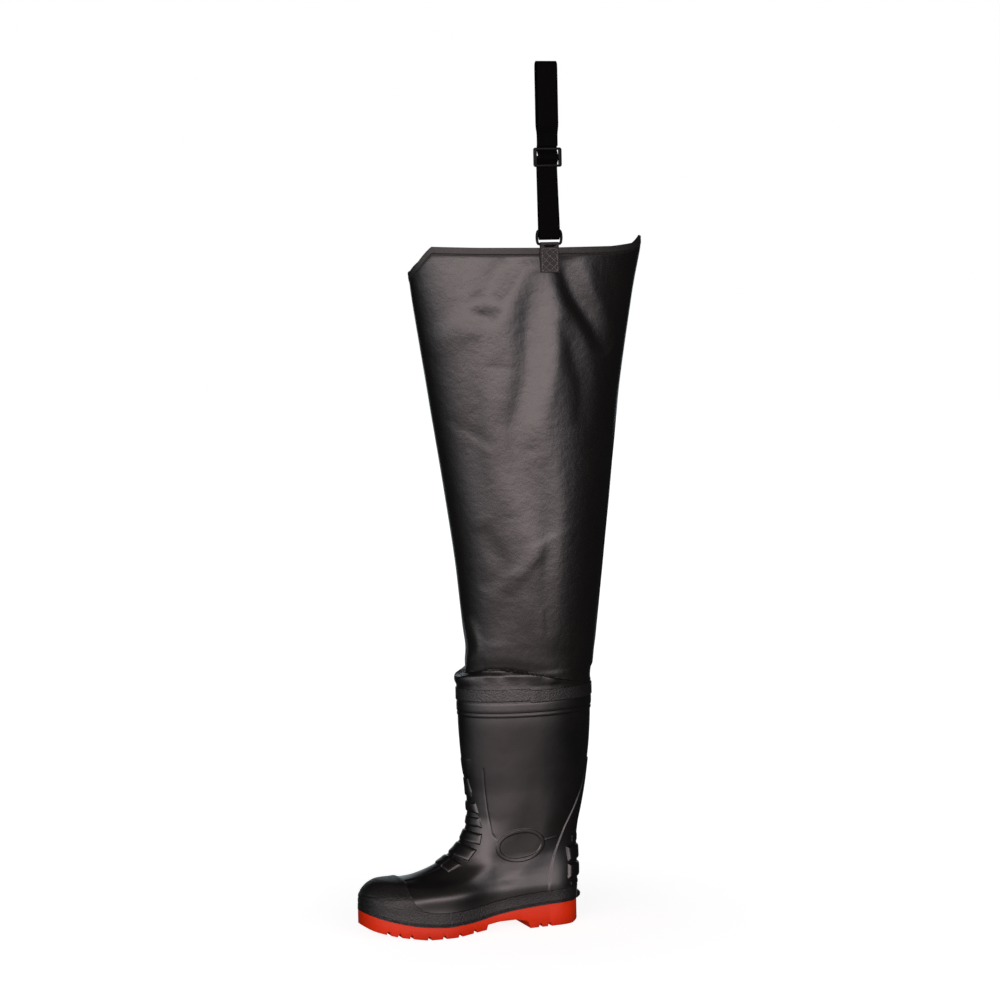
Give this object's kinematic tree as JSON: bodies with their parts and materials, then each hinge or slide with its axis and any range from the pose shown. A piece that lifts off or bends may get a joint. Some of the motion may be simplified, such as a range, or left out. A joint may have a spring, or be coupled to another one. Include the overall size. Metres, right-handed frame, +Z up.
{
  "type": "hip wader",
  "caption": "Left hip wader: moulded boot with a lugged sole, flared coated-fabric leg open at the top, and an adjustable strap with a belt loop.",
  "frame": {"origin": "on the floor under the flat of the heel, on the sole's long axis, 33 mm in front of the back of the heel", "axes": "+Z up along the leg, -Y towards the toe, +Y towards the heel, +X towards the outer side of a left leg"},
  "size_m": [0.149, 0.418, 1.1596],
  "materials": {
    "sole_red": "moulded orange-red PVC, satin",
    "boot_black": "moulded black PVC, glossy, pebbled on the toe cap and foxing",
    "insole_grey": "dark grey textile on foam",
    "leg_black": "black PVC-coated fabric, semi-gloss, softly creased",
    "tape_black": "textured black joint tape",
    "tab_black": "black webbing with a stitched cross",
    "ring_black": "black moulded ring",
    "webbing_black": "black woven webbing",
    "slider_black": "black moulded buckle"
  },
  "bodies": {
    "root": {"outsole": "sole_red", "boot_upper": "boot_black", "insole": "insole_grey", "leg_shaft": "leg_black", "joint_tape": "tape_black", "hanger_tab": "tab_black", "ring": "ring_black", "strap": "webbing_black", "slider": "slider_black"}
  },
  "joints": []
}
